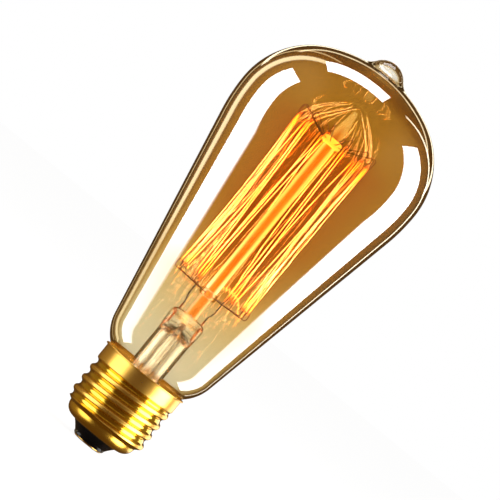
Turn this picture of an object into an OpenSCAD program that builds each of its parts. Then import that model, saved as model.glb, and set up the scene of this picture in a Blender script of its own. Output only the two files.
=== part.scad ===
// Filament lamp with a teardrop glass envelope, a squirrel cage filament and a 27 mm screw cap.
// The origin is the middle of the centre contact's flat face. +Z runs along the lamp to its tip.
// The observer of the front view stands on the -Y side, with +X to the right.

/* [Envelope] */
// Height of the glass tip over the contact face
overall_h = 137.1; // [128:0.1:150]
// Widest outer diameter of the glass
bulb_d = 62; // [58:0.5:66]
// Height of the drawn tip over the crown
tip_reach = 3.94; // [3.5:0.02:4.4]
// Radius of the crown, seen from the side
crown_r = 39.6; // [37:0.2:44]
// Radius of the shoulder between crown and widest place
shoulder_r = 24; // [21:0.5:26]
// Radius of the hip below the widest place
hip_r = 55; // [45:1:70]
// Diameter over the turn of the foot, where the long cone ends
foot_d = 34.7; // [33:0.1:37]
// Radius of the foot's turn
foot_r = 12.9; // [11.5:0.1:14]
// Outer diameter of the neck
neck_d = 22; // [21:0.1:22.2]
// Radius of the hollow turn between neck and foot
neck_turn_r = 3.4; // [3:0.1:4.2]
// Gap between the glass and the cap's rim
mouth_gap = 0.32; // [0.28:0.02:0.6]
// Thickness of the blown glass
glass_wall = 0.9; // [0.6:0.05:1.2]
// Radius of the drawn tip
tip_r = 5.9; // [5:0.1:6.6]
// Radius of the hollow turn round the tip
tip_turn_r = 6; // [4:0.5:8]
// Thickness of the glass in the tip
tip_wall = 1.3; // [1:0.1:2]

/* [Stem] */
// Height of the fused joint between neck and stem flare
seal_z = 15; // [14:0.1:16]
// Outer diameter of the stem tube
stem_d = 10.4; // [9.6:0.1:11]
// Wall of the stem tube
stem_wall = 0.8; // [0.6:0.05:0.9]
// Height of the underside of the press
press_z = 38.8; // [37:0.1:42]
// Height of the press
press_h = 7.6; // [6.5:0.1:9]
// Width of the press across the wires
press_w = 11.1; // [10.8:0.1:12]
// Depth of the press between its flats
press_depth = 6.4; // [5.6:0.1:7]
// Rounding of the edges of the press
press_edge = 1.2; // [0.6:0.1:1.4]
// Radius of the runs from the tube into the flats
press_run_r = 2.5; // [1.5:0.1:3]
// Outer diameter of the exhaust tube
exhaust_d = 3.2; // [2.8:0.1:3.6]
// Wall of the exhaust tube
exhaust_wall = 0.6; // [0.4:0.05:0.8]
// Height of the sealed lower end of the exhaust tube
exhaust_tip_z = 9.5; // [9:0.1:12]
// Height of the exhaust opening over the underside of the press
exhaust_hole_up = 3.6; // [2.5:0.1:4]

/* [Arbor] */
// Diameter of the glass rod
rod_d = 3.9; // [3:0.1:4.4]
// Distance from the rod's upper end to the glass tip
rod_drop = 29.5; // [28:0.1:34]
// Diameter of the upper button
upper_button_d = 6.2; // [5.4:0.1:7]
// Height of the upper button
upper_button_h = 2.4; // [1.8:0.1:3]
// Gap between the press and the lower button
lower_button_up = 6.5; // [6:0.1:9]
// Diameter of the lower button
lower_button_d = 5.6; // [5.4:0.1:6.4]
// Thickness of the lower button
lower_button_h = 2.4; // [1.8:0.1:3]
// Rounding of the buttons' edges
button_edge = 0.7; // [0.4:0.1:0.75]

/* [Supports] */
// Number of upper supports, with one less below
support_count = 12; // [9:1:14]
// Diameter of the support wire
support_d = 0.4; // [0.3:0.05:0.5]
// Depth of the upper wires in their button
support_sink = 1.5; // [1:0.1:1.6]
// Rise of the upper supports from button to outer end
upper_rise = 4.2; // [2:0.1:5]
// Rise of the lower supports from button to outer end
lower_rise = 0.5; // [0:0.1:1.2]
// Length of the upright leg of an upper support
upper_leg = 2.9; // [2.2:0.1:3.6]
// Length of the upright leg of a lower support
lower_leg = 1.7; // [1.5:0.1:2.6]
// Radius of the turn from support to leg
leg_turn = 0.7; // [0.6:0.05:0.9]
// Radius of the hook at the end of a leg
hook_turn = 0.65; // [0.6:0.05:0.8]
// Length of the hook's free tail
hook_tail = 0.7; // [0.3:0.1:1]

/* [Filament] */
// Radius of the cage at its upper hooks
cage_top_r = 12.6; // [11.5:0.1:13.5]
// Radius of the cage at its lower hooks
cage_low_r = 12.1; // [11:0.1:13]
// Diameter of the filament
filament_d = 0.4; // [0.3:0.05:0.45]
// Length over which a filament end is welded to its lead
weld_l = 1.6; // [1:0.1:2]

/* [Leads] */
// Distance of the wires in the press from the axis
seal_x = 3.95; // [3.7:0.05:4]
// Diameter of the wires in the press
seal_d = 0.5; // [0.4:0.05:0.6]
// Length of a seal wire that stands out at each end of the press
seal_reach = 1.2; // [0.8:0.1:2]
// Diameter of the inner leads
inner_lead_d = 0.6; // [0.4:0.05:0.7]
// Distance of the inner leads' upper ends from the axis
inner_lead_r = 4.8; // [4.6:0.1:5.4]
// Height of the inner leads' upper ends over the underside of the lower button
inner_lead_up = 4; // [3.8:0.1:6]
// Diameter of the copper leads in the cap
outer_lead_d = 0.4; // [0.3:0.05:0.45]
// Radius of the bends in the leads
lead_turn = 2; // [1.5:0.1:2.5]

/* [Cap] */
// Height of the cap's rim
cap_h = 26.1; // [25.8:0.1:26.3]
// Diameter over the crests of the thread
thread_d = 26.3; // [26.05:0.05:26.45]
// Depth of the thread
thread_depth = 1; // [0.9:0.05:1.1]
// Pitch of the thread
thread_pitch = 3.63; // [3.5:0.01:3.7]
// Height of a crest on the front side
thread_front_z = 15.2; // [14:0.1:17]
// Height at which the thread starts
thread_low_z = 7.1; // [7:0.1:7.6]
// Height at which the thread ends in the plain collar
thread_top_z = 21.7; // [20.5:0.1:22]
// Height over which the last groove fades out
thread_fade = 1.1; // [0.6:0.1:2]
// Diameter of the plain bead under the thread
bead_d = 22.8; // [22:0.1:23.4]
// Radius of the bead's turn to the underside
bead_turn = 3.3; // [2.8:0.1:3.3]
// Diameter of the opening in the underside
lip_d = 14.9; // [14:0.1:15.6]
// Thickness of the brass sheet
sheet = 0.3; // [0.2:0.05:0.35]
// Reach of the rolled rim over the collar
rim_reach = 0.55; // [0.3:0.05:0.7]
// Height of the rolled rim
rim_h = 0.7; // [0.5:0.05:0.9]
// Radius of the roll along the rim's edge
rim_roll = 0.24; // [0.2:0.01:0.26]
// Height of the upper side of the insulator
insulator_top_z = 6; // [5.4:0.1:6.6]
// Diameter of the insulator's flange inside the cap
insulator_flange_d = 19; // [17:0.1:19.4]
// Diameter of the insulator's lower end
insulator_low_d = 10.3; // [9.8:0.1:11]
// Height of the upright lower edge of the insulator
insulator_lip_h = 0.6; // [0.4:0.05:0.9]
// Bevel under the insulator's lower edge
insulator_bevel = 0.2; // [0.1:0.05:0.3]
// Diameter of the hole down the insulator
insulator_hole_d = 2; // [1.8:0.1:2.4]
// Diameter of the contact plate's flat
contact_d = 7.8; // [7:0.1:8.4]
// Thickness of the contact plate
contact_t = 0.45; // [0.35:0.05:0.6]
// Reach of the contact plate's rounded edge over its flat
contact_edge = 0.8; // [0.5:0.05:1]
// Height of the contact's eyelet in the insulator
eyelet_h = 2; // [1.5:0.1:3]
// Diameter of the dimple for the solder
dimple_d = 3; // [2:0.1:3.6]
// Depth of the dimple
dimple_depth = 0.25; // [0.15:0.05:0.3]
// Height of the cement ring
cement_h = 2.8; // [2:0.1:3]
// Width of the slot in the cement for the side lead
cement_slot = 1; // [0.8:0.1:1.4]
// Radius of the solder drop on the collar
side_solder_r = 1.5; // [1.2:0.1:1.8]

/* [Fits] */
// Gap round a wire that is fused or cemented in
wire_fit = 0.03; // [0.02:0.01:0.06]
// Gap between parts of the cap
cap_fit = 0.05; // [0.03:0.01:0.1]
// Gap between filament and hook, or filament and lead
filament_fit = 0.06; // [0.04:0.01:0.1]

/* [Hidden] */
function two_digits(i) = i < 10 ? str("0", i) : str(i);
upper_names = [for (i = [1 : support_count]) str("upper_support_", two_digits(i))];
lower_names = [for (i = [1 : support_count - 1]) str("lower_support_", two_digits(i))];

// Steps round a turned part, an arc in a profile, a wire and a bend
turn_steps = 96;
arc_steps = 7;
wire_sides = 6;
bend_steps = 3;
hook_steps = 6;
roll_steps = 4;
// Steps round the screw shell and along one turn of its thread
shell_sides = 40;
pitch_rows = 8;
overcut = 1;

// Outline of the glass
bulb_r = bulb_d / 2;
neck_r = neck_d / 2;
shoulder_x = bulb_r - shoulder_r;
tip_z = overall_h - tip_r;
crown_z = overall_h - tip_reach - crown_r;
bulb_z = crown_z + sqrt(pow(crown_r - shoulder_r, 2) - pow(shoulder_x, 2));
shoulder_a = atan2(bulb_z - crown_z, shoulder_x);
// The hollow turn passes the cap's rim at the mouth's gap, and the foot's turn touches it above
neck_turn_x = neck_r + neck_turn_r;
mouth_r = thread_d / 2 - sheet - mouth_gap;
neck_turn_z = cap_h - sqrt(pow(neck_turn_r, 2) - pow(neck_turn_x - mouth_r, 2));
foot_x = foot_d / 2 - foot_r;
foot_z = neck_turn_z + sqrt(pow(foot_r + neck_turn_r, 2) - pow(neck_turn_x - foot_x, 2));
foot_mid = [foot_x, foot_z];
neck_turn_a = atan2(neck_turn_z - foot_z, neck_turn_x - foot_x);
// The cone is the straight line that touches both the hip and the foot's turn
hip_x = bulb_r - hip_r;
cone_angle = acos((foot_r - hip_r) / norm([hip_x - foot_x, bulb_z - foot_z]))
             - atan2(bulb_z - foot_z, hip_x - foot_x);

// Stem
stem_r = stem_d / 2;
stem_bore_r = stem_r - stem_wall;
neck_bore_r = neck_r - glass_wall;
flare_turn = neck_bore_r - stem_r;
press_top_z = press_z + press_h;
press_r = press_w / 2;
exhaust_bore_r = exhaust_d / 2 - exhaust_wall;
rod_r = rod_d / 2;
seal_bore_r = seal_d / 2 + wire_fit;

// Supports and cage
hook_step = 360 / support_count;
// The filament's ends leave a gap at the front, a little to its right
gap_azimuth = -86;
wire_r = support_d / 2;
rod_top_z = overall_h - rod_drop;
lower_button_z = press_top_z + lower_button_up;
filament_r = filament_d / 2;
filament_turn = wire_r + filament_fit + filament_r;
upper_wire_z = rod_top_z + upper_button_h / 2;
upper_button_r = upper_button_d / 2;
upper_hook_z = upper_wire_z + upper_rise - upper_leg;
upper_start_r = upper_button_r - support_sink;
lower_wire_z = lower_button_z + lower_button_h / 2;
lower_button_r = lower_button_d / 2;
lower_bore_r = rod_r + wire_fit;
lower_start_r = lower_bore_r + wire_fit;
lower_hook_z = lower_wire_z + lower_rise + lower_leg;

// Leads. Each inner lead stands midway between two lower supports, short of a quarter turn from the gap.
lead_step = ceil(90 / hook_step - 1) + 0.5;
inner_lead_low_z = press_top_z + seal_reach;
outer_lead_top_z = press_z - seal_reach;
outer_lead_r = outer_lead_d / 2;

// Cap
crest_r = thread_d / 2;
thread_arc_r = thread_depth / 4 + pow(thread_pitch, 2) / (16 * thread_depth);
bead_r = bead_d / 2;
bead_x = bead_r - bead_turn;
bead_z = thread_low_z - bead_turn;
lip_r = lip_d / 2;
// Slope of the last crest's run into the bead, and the angle short of the thread where the bead's turn ends
run_in = 1.5;
bead_stop = 10;
collar_bore_r = crest_r - sheet;
rim_low_z = cap_h - rim_h;
root_bore_r = crest_r - thread_depth - sheet;
cement_low_z = thread_top_z + cap_fit;
side_lead_r = (neck_r + root_bore_r) / 2;
side_wire_low_z = seal_z - stem_wall - 3 * outer_lead_d;
side_lead_out_r = crest_r + rim_reach + outer_lead_r + 2 * cap_fit;
side_lead_end_z = rim_low_z - outer_lead_d;

// Points on an arc in a profile. The first point is left out where the arc carries on a line.
function arc(mid, r, from, to, first = 1, steps = arc_steps) =
    [for (i = [first : steps]) mid + r * [cos(from + (to - from) * i / steps),
                                          sin(from + (to - from) * i / steps)]];

// Middle of the hollow turn that touches the tip and the crown, both centred on the axis
function tip_turn_mid(tip, crown, turn) =
    let (z = (pow(crown + turn, 2) - pow(tip + turn, 2) + pow(tip_z, 2) - pow(crown_z, 2))
             / (2 * (tip_z - crown_z)))
    [sqrt(pow(tip + turn, 2) - pow(z - tip_z, 2)), z];

// Half of the envelope's outline, from the tip down to the neck, sunk below the surface by one depth
function glass_outline(depth, tip_depth) =
    let (tip = tip_r - tip_depth, crown = crown_r - depth, turn = tip_turn_r + depth,
         mid = tip_turn_mid(tip, crown, turn),
         tip_a = atan2(mid.y - tip_z, mid.x), crown_a = atan2(mid.y - crown_z, mid.x))
    concat(arc([0, tip_z], tip, 90, tip_a, 0),
           arc(mid, turn, tip_a + 180, crown_a + 180),
           arc([0, crown_z], crown, crown_a, shoulder_a),
           arc([shoulder_x, bulb_z], shoulder_r - depth, shoulder_a, 0, 1, 2 * arc_steps),
           arc([hip_x, bulb_z], hip_r - depth, 0, -cone_angle),
           arc(foot_mid, foot_r - depth, -cone_angle, neck_turn_a, 0),
           arc([neck_turn_x, neck_turn_z], neck_turn_r + depth, neck_turn_a + 180, 180),
           [[neck_r - depth, seal_z]]);

function reversed(list) = [for (i = [len(list) - 1 : -1 : 0]) list[i]];

// Outline of a turned disc with rounded edges, round a bore
function disc_outline(bore, r, low_z, high_z, edge) =
    concat([[bore, low_z]],
           arc([r - edge, low_z + edge], edge, -90, 0, 0),
           arc([r - edge, high_z - edge], edge, 0, 90, 0),
           [[bore, high_z]]);

module turned(outline) rotate_extrude($fn = turn_steps) polygon(outline);

// Faces of a grid of points that closes on itself round each row
function grid_faces(rows, sides, from = 0) =
    [for (i = [from : rows - 2], j = [0 : sides - 1])
        let (k = (j + 1) % sides)
        each [[i * sides + j, (i + 1) * sides + j, (i + 1) * sides + k],
              [i * sides + j, (i + 1) * sides + k, i * sides + k]]];

function unit(v) = v / norm(v);
function direction(path, i) = unit(path[min(i + 1, len(path) - 1)] - path[max(i - 1, 0)]);

// A round wire along a path. Each side vector is square to the path, or nearly.
module wire(path, sides_to, r) {
    last = len(path) - 1;
    points = [for (i = [0 : last], j = [0 : wire_sides - 1])
        let (along = direction(path, i), other = unit(cross(along, sides_to[i])),
             side = cross(other, along), a = 360 * j / wire_sides)
        path[i] + r * (cos(a) * side + sin(a) * other)];
    low_end = [for (j = [0 : wire_sides - 1]) j];
    high_end = [for (j = [wire_sides - 1 : -1 : 0]) last * wire_sides + j];
    polyhedron(concat(points), concat(grid_faces(last + 1, wire_sides), [low_end, high_end]));
}

// A wire whose side vector is the same all along
module plain_wire(path, side, r) wire(path, [for (p = path) side], r);

// A path of straight runs with its corners rounded
function rounded(path, turn) =
    concat([path[0]],
           [for (i = [1 : len(path) - 2])
               let (back = unit(path[i - 1] - path[i]), on = unit(path[i + 1] - path[i]),
                    half = acos(back * on) / 2, cut = turn / tan(half), mid_way = unit(back + on),
                    mid = path[i] + mid_way * turn / sin(half), sweep = 90 - half,
                    across = unit(on - back))
               each [for (s = [0 : bend_steps])
                   let (a = sweep * (2 * s / bend_steps - 1))
                   mid + turn * (sin(a) * across - cos(a) * mid_way)]],
           [path[len(path) - 1]]);

function radial(a) = [cos(a), sin(a), 0];
function tangential(a) = [-sin(a), cos(a), 0];
function upper_azimuth(i) = gap_azimuth - hook_step * (i + 0.5);
function lower_azimuth(i) = gap_azimuth - hook_step * (i + 1);

// Path of a support in its own upright plane: out of the button, along, up or down the leg, round the hook
function support_path(a, start_r, wire_z, clear_r, outer_z, hook_z, cage_r) =
    let (leg_r = cage_r + hook_turn, way = outer_z > hook_z ? -1 : 1,
         flat = rounded([[start_r, 0, wire_z], [clear_r, 0, wire_z], [leg_r, 0, outer_z],
                         [leg_r, 0, hook_z]], leg_turn),
         hook = [for (s = [1 : hook_steps])
             [cage_r + hook_turn * cos(180 * s / hook_steps), 0,
              hook_z + way * hook_turn * sin(180 * s / hook_steps)]],
         tail = [[cage_r - hook_turn, 0, hook_z - way * hook_tail]])
    [for (p = concat(flat, hook, tail)) p.x * radial(a) + [0, 0, p.z]];

// Upper end of the inner lead on one side, with -1 for the left one
function inner_lead_top(side) =
    inner_lead_r * radial(gap_azimuth + side * lead_step * hook_step) + [0, 0, lower_button_z + inner_lead_up];

// Path of the filament: up from the left lead, over and under every hook, down to the right lead
function filament_hook(a, cage_r, z, way) =
    [for (s = [0 : hook_steps])
        cage_r * radial(a) + [0, 0, z]
        + filament_turn * (cos(180 * s / hook_steps) * tangential(a)
                           + way * [0, 0, sin(180 * s / hook_steps)])];
upper_seat_z = upper_hook_z - hook_turn;
lower_seat_z = lower_hook_z + hook_turn;
weld_side = [0, -1, 0];
function weld(side) = [for (up = [-weld_l, 0])
    inner_lead_top(side) + (inner_lead_d / 2 + filament_fit + filament_r) * weld_side + [0, 0, up]];
filament_path = concat(weld(-1),
    [for (i = [0 : support_count - 1])
        each concat(filament_hook(upper_azimuth(i), cage_top_r, upper_seat_z, 1),
                    i < support_count - 1
                    ? filament_hook(lower_azimuth(i), cage_low_r, lower_seat_z, -1) : [])],
    reversed(weld(1)));
filament_sides = concat([for (p = weld(-1)) weld_side],
    [for (i = [0 : support_count - 1])
        each concat([for (s = [0 : hook_steps]) radial(upper_azimuth(i))],
                    i < support_count - 1
                    ? [for (s = [0 : hook_steps]) radial(lower_azimuth(i))] : [])],
    [for (p = weld(1)) weld_side]);

// Least gap between two stretches of the filament, on points along its straight strands and its bends
strand_points = 12;
filament_probe = [for (i = [0 : len(filament_path) - 2])
    let (p = filament_path[i], q = filament_path[i + 1], n = norm(q - p) > 2 * weld_l ? strand_points : 1)
    each [for (s = [0 : n - 1]) p + (q - p) * s / n]];
filament_gap = min([for (i = [0 : len(filament_probe) - 1],
    j = [i + hook_steps : 1 : len(filament_probe) - 1])
    norm(filament_probe[j] - filament_probe[i])]) - filament_d;
echo(filament_gap = filament_gap);

// Radius of the screw shell's outer face at a height and an azimuth
function thread_rise(u) = u < thread_pitch / 4
    ? thread_depth - thread_arc_r + sqrt(pow(thread_arc_r, 2) - u * u)
    : thread_arc_r - sqrt(pow(thread_arc_r, 2) - pow(thread_pitch / 2 - u, 2));
function thread_r(z, a) =
    let (turns = (z - thread_front_z) / thread_pitch - (a + 90) / 360,
         sunk = thread_depth - thread_rise(abs(turns - round(turns)) * thread_pitch),
         fade = max(0, min(1, (thread_top_z - z) / thread_fade)))
    min(crest_r - sunk * fade, bead_r + run_in * (z - thread_low_z));

// Rows of the screw shell: the radius or, on the thread, how far the row lies inside it, the height,
// and whether it is on the thread
thread_rows = ceil((thread_top_z - thread_low_z) / thread_pitch * pitch_rows);
thread_heights = [for (i = [0 : thread_rows])
    thread_low_z + (thread_top_z - thread_low_z) * i / thread_rows];
shell_rows = concat(
    [[lip_r, bead_z, false]],
    [for (p = arc([bead_x, thread_low_z], bead_turn, -90, -bead_stop, 0)) [p.x, p.y, false]],
    [for (z = thread_heights) [0, z, true]],
    [[crest_r, rim_low_z, false]],
    [for (p = arc([crest_r + rim_reach - rim_roll, cap_h - rim_roll], rim_roll, -45, 135, 0, roll_steps))
        [p.x, p.y, false]],
    [[collar_bore_r, rim_low_z, false]],
    [for (z = reversed(thread_heights)) [sheet, z, true]],
    [for (p = arc([bead_x, thread_low_z], bead_turn - sheet, -bead_stop, -90, 0)) [p.x, p.y, false]],
    [[lip_r, bead_z + sheet, false]]);

module screw_shell() {
    points = [for (row = shell_rows, j = [0 : shell_sides - 1])
        let (a = 360 * j / shell_sides, r = row[2] ? thread_r(row.y, a) - row.x : row.x)
        r * radial(a) + [0, 0, row.y]];
    last = len(shell_rows) - 1;
    closing = [for (j = [0 : shell_sides - 1])
        let (k = (j + 1) % shell_sides)
        each [[last * shell_sides + j, j, k], [last * shell_sides + j, k, last * shell_sides + k]]];
    color("goldenrod") polyhedron(points, concat(grid_faces(last + 1, shell_sides), closing));
}

module cap_insulator() {
    neck_hole_r = lip_r - cap_fit;
    flange_z = bead_z + sheet + cap_fit;
    color([0.06, 0.06, 0.07]) turned([
        [insulator_hole_d / 2, contact_t],
        [insulator_low_d / 2 - insulator_bevel, contact_t],
        [insulator_low_d / 2, contact_t + insulator_bevel],
        [insulator_low_d / 2, contact_t + insulator_lip_h],
        [neck_hole_r, bead_z - cap_fit],
        [neck_hole_r, flange_z],
        [bead_x, flange_z],
        [insulator_flange_d / 2, insulator_top_z],
        [insulator_hole_d / 2, insulator_top_z]]);
}

module centre_contact() {
    flat_r = contact_d / 2;
    eyelet_r = insulator_hole_d / 2 - cap_fit;
    bore_r = outer_lead_r + cap_fit;
    color("gold") turned(concat(
        [[bore_r, dimple_depth], [dimple_d / 2 - dimple_depth, dimple_depth], [dimple_d / 2, 0]],
        [for (i = [0 : arc_steps])
            [flat_r + contact_edge * sin(90 * i / arc_steps), contact_t * (1 - cos(90 * i / arc_steps))]],
        [[eyelet_r, contact_t], [eyelet_r, contact_t + eyelet_h], [bore_r, contact_t + eyelet_h]]));
}

module centre_solder() {
    color("silver") turned([
        [0, cap_fit],
        [dimple_d / 4, cap_fit],
        [dimple_d / 2 - dimple_depth, dimple_depth],
        [0, dimple_depth]]);
}

module side_solder() {
    color("silver") difference() {
        translate([0, crest_r + side_solder_r / 5, rim_low_z - side_solder_r / 2])
            sphere(r = side_solder_r, $fn = 32);
        cylinder(r = crest_r + cap_fit, h = cap_h, $fn = turn_steps);
        translate([0, 0, rim_low_z]) cylinder(r = crest_r + rim_reach + cap_fit, h = cap_h, $fn = turn_steps);
        translate([0, side_lead_out_r, side_lead_end_z - wire_fit])
            cylinder(r = outer_lead_r + wire_fit, h = side_solder_r, $fn = 24);
    }
}

// The ring of cement between neck and collar, slotted for the side lead
module capping_cement() {
    mid = [neck_turn_x, neck_turn_z];
    turn = neck_turn_r - cap_fit;
    top_z = cement_low_z + cement_h;
    top_a = asin((top_z - neck_turn_z) / turn);
    inner = cement_low_z < neck_turn_z
        ? concat([[neck_r + cap_fit, cement_low_z]], arc(mid, turn, 180, 180 - top_a, 0))
        : arc(mid, turn, 180 - asin((cement_low_z - neck_turn_z) / turn), 180 - top_a, 0);
    color("tan") difference() {
        turned(concat(inner, [[collar_bore_r - cap_fit, top_z], [collar_bore_r - cap_fit, cement_low_z]]));
        translate([-cement_slot / 2, 0, cement_low_z - overcut])
            cube([cement_slot, crest_r, cement_h + 2 * overcut]);
    }
}

module glass_envelope() {
    color([0.85, 0.55, 0.2, 0.45])
        turned(concat(glass_outline(0, 0), reversed(glass_outline(glass_wall, tip_wall))));
}

// The flared tube with its pinched upper end, in which the wires are sealed
module stem_flare() {
    mid = [neck_bore_r, seal_z + flare_turn];
    outside = concat(
        [[neck_r, seal_z]],
        arc(mid, flare_turn, 270, 180, 0),
        [[stem_r, press_z]],
        arc([press_r - press_edge, press_z + press_h / 2 - press_edge / 2], press_edge, 0, 0, 0, 1),
        arc([press_r - press_edge, press_top_z - press_edge], press_edge, 0, 90, 0));
    inside = concat(
        [[0, press_top_z], [0, press_z], [stem_bore_r, press_z]],
        arc(mid, flare_turn + stem_wall, 180, 270, 0),
        [[neck_r, seal_z - stem_wall]]);
    color([0.8, 0.85, 0.8, 0.5]) difference() {
        turned(concat(outside, inside));
        for (side = [-1, 1]) press_flat(side);
        for (side = [-1, 1])
            translate([side * seal_x, 0, press_z - overcut])
                cylinder(r = seal_bore_r, h = press_h + 2 * overcut, $fn = 24);
        translate([0, 0, press_z - overcut])
            cylinder(r = exhaust_bore_r, h = exhaust_hole_up + overcut, $fn = 24);
        translate([0, 0, press_z + exhaust_hole_up])
            rotate([90, 0, 0]) cylinder(r = exhaust_bore_r, h = press_w, $fn = 24);
    }
}

// What the pinching takes off one side of the press, with a round run into the tube below
module press_flat(side) {
    flat_y = press_depth / 2;
    out_y = press_w;
    run = concat([[out_y, press_top_z + overcut], [flat_y, press_top_z + overcut]],
                 arc([flat_y + press_run_r, press_z + press_run_r], press_run_r, 180, 270, 0),
                 [[out_y, press_z]]);
    rotate([90, 0, 90]) translate([0, 0, -press_w])
        linear_extrude(2 * press_w) polygon([for (p = run) [side * p.x, p.y]]);
}

module exhaust_tube() {
    r = exhaust_d / 2;
    tip = [0, exhaust_tip_z + r];
    color([0.8, 0.85, 0.8, 0.5]) turned(concat(
        arc(tip, r, -90, 0, 0), [[r, press_z], [exhaust_bore_r, press_z]],
        arc(tip, exhaust_bore_r, 0, -90, 0)));
}

module support_rod() {
    color([0.9, 0.75, 0.5, 0.6]) translate([0, 0, press_top_z])
        cylinder(r = rod_r, h = rod_top_z - press_top_z, $fn = 48);
}

module upper_button() {
    color("khaki") difference() {
        turned(disc_outline(0, upper_button_r, rod_top_z, rod_top_z + upper_button_h, button_edge));
        for (i = [0 : support_count - 1])
            rotate(upper_azimuth(i)) translate([upper_start_r - wire_fit, 0, upper_wire_z])
                rotate([0, 90, 0]) cylinder(r = wire_r + wire_fit, h = support_sink + overcut, $fn = 16);
    }
}

module lower_button() {
    color("khaki") difference() {
        turned(disc_outline(lower_bore_r, lower_button_r, lower_button_z,
            lower_button_z + lower_button_h, button_edge));
        for (i = [0 : support_count - 2])
            rotate(lower_azimuth(i)) translate([lower_bore_r - overcut, 0, lower_wire_z])
                rotate([0, 90, 0]) cylinder(r = wire_r + wire_fit, h = lower_button_d, $fn = 16);
    }
}

module upper_support(i) {
    a = upper_azimuth(i);
    color("dimgray") plain_wire(support_path(a, upper_start_r, upper_wire_z, upper_button_r + leg_turn,
        upper_wire_z + upper_rise, upper_hook_z, cage_top_r), tangential(a), wire_r);
}

module lower_support(i) {
    a = lower_azimuth(i);
    color("dimgray") plain_wire(support_path(a, lower_start_r, lower_wire_z, lower_button_r + leg_turn,
        lower_wire_z + lower_rise, lower_hook_z, cage_low_r), tangential(a), wire_r);
}

module filament() {
    color("orange") wire(filament_path, filament_sides, filament_r);
}

// From the seal wire's upper end up to the filament's end
module inner_lead(side) {
    top = inner_lead_top(side);
    path = [[side * seal_x, 0, inner_lead_low_z], [side * seal_x, 0, inner_lead_low_z + lead_turn / 2],
            [top.x, top.y, lower_button_z - lead_turn], top];
    color("gray") plain_wire(rounded(path, lead_turn), [0, 1, 0], inner_lead_d / 2);
}

module seal_wire(side) {
    color("peru") translate([side * seal_x, 0, outer_lead_top_z])
        cylinder(r = seal_d / 2, h = inner_lead_low_z - outer_lead_top_z, $fn = 24);
}

// Down through the stem to the centre contact
module outer_lead_centre() {
    path = [[-seal_x, 0, outer_lead_top_z], [-seal_x, 0, exhaust_tip_z + exhaust_d],
            [0, 0, insulator_top_z + lead_turn / 4], [0, 0, dimple_depth + cap_fit]];
    color("chocolate") plain_wire(rounded(path, lead_turn), [0, 1, 0], outer_lead_r);
}

// Down through the stem, out under the flare, up beside the neck and over the rim to the solder
module outer_lead_side() {
    over_z = cap_h + outer_lead_r + 2 * cap_fit;
    through_r = collar_bore_r - outer_lead_r - cap_fit;
    path = [[seal_x, 0, outer_lead_top_z], [seal_x, 0, side_wire_low_z],
            [0, side_lead_r, side_wire_low_z], [0, side_lead_r, cement_low_z - cap_fit],
            [0, through_r, cement_low_z + cement_h], [0, through_r, rim_low_z],
            [0, crest_r, over_z], [0, side_lead_out_r, over_z], [0, side_lead_out_r, side_lead_end_z]];
    color("chocolate") plain_wire(rounded(path, outer_lead_d), [1, 0, 0], outer_lead_r);
}

screw_shell();
cap_insulator();
centre_contact();
centre_solder();
side_solder();
capping_cement();
glass_envelope();
stem_flare();
exhaust_tube();
support_rod();
upper_button();
lower_button();
filament();
inner_lead(-1);  // inner_lead_left
inner_lead(1);  // inner_lead_right
seal_wire(-1);  // seal_wire_left
seal_wire(1);  // seal_wire_right
outer_lead_centre();
outer_lead_side();
for (i = [0 : support_count - 1])
    upper_support(i);
for (i = [0 : support_count - 2])
    lower_support(i);
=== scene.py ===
import math
import random

import bmesh
import bpy
from mathutils import Matrix, Vector


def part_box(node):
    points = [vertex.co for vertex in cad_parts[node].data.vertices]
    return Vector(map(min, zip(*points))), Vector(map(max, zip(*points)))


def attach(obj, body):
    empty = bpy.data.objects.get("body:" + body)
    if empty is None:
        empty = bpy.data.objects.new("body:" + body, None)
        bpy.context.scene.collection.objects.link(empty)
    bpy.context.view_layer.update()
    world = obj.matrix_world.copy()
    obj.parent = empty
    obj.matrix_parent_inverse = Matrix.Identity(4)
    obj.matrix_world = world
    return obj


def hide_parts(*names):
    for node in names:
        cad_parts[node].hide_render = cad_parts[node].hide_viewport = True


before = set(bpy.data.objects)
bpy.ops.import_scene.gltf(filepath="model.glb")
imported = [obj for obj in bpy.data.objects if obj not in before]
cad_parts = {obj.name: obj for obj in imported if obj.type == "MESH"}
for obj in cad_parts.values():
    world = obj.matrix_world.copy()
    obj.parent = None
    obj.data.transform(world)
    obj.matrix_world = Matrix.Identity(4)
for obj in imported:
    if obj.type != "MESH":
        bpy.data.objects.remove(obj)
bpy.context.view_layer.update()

MM = 0.001
WHITE = (1, 1, 1)


# Sizes in millimetres, read from the frame where a box shows them, and otherwise the same as the frame's

glass_low, glass_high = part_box("glass_envelope")
shell_low, shell_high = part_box("screw_shell")
rod_low, rod_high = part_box("support_rod")
upper_button_low, upper_button_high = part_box("upper_button")
lower_button_low, lower_button_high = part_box("lower_button")
overall_h = glass_high.z / MM
bulb_r = (glass_high.y - glass_low.y) / 2 / MM
seal_z = glass_low.z / MM
cap_h = shell_high.z / MM
bead_z = shell_low.z / MM
press_top_z = rod_low.z / MM
rod_top_z = rod_high.z / MM
rod_r = (rod_high.y - rod_low.y) / 2 / MM
upper_button_r = (upper_button_high.y - upper_button_low.y) / 2 / MM
lower_button_r = (lower_button_high.y - lower_button_low.y) / 2 / MM

tip_reach = 3.94
crown_r = 39.6
shoulder_r = 24
hip_r = 55
foot_d = 34.7
foot_r = 12.9
neck_r = 11
neck_turn_r = 3.4
mouth_gap = 0.32
glass_wall = 0.9
tip_r = 5.9
tip_turn_r = 6
tip_wall = 1.3

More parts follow.
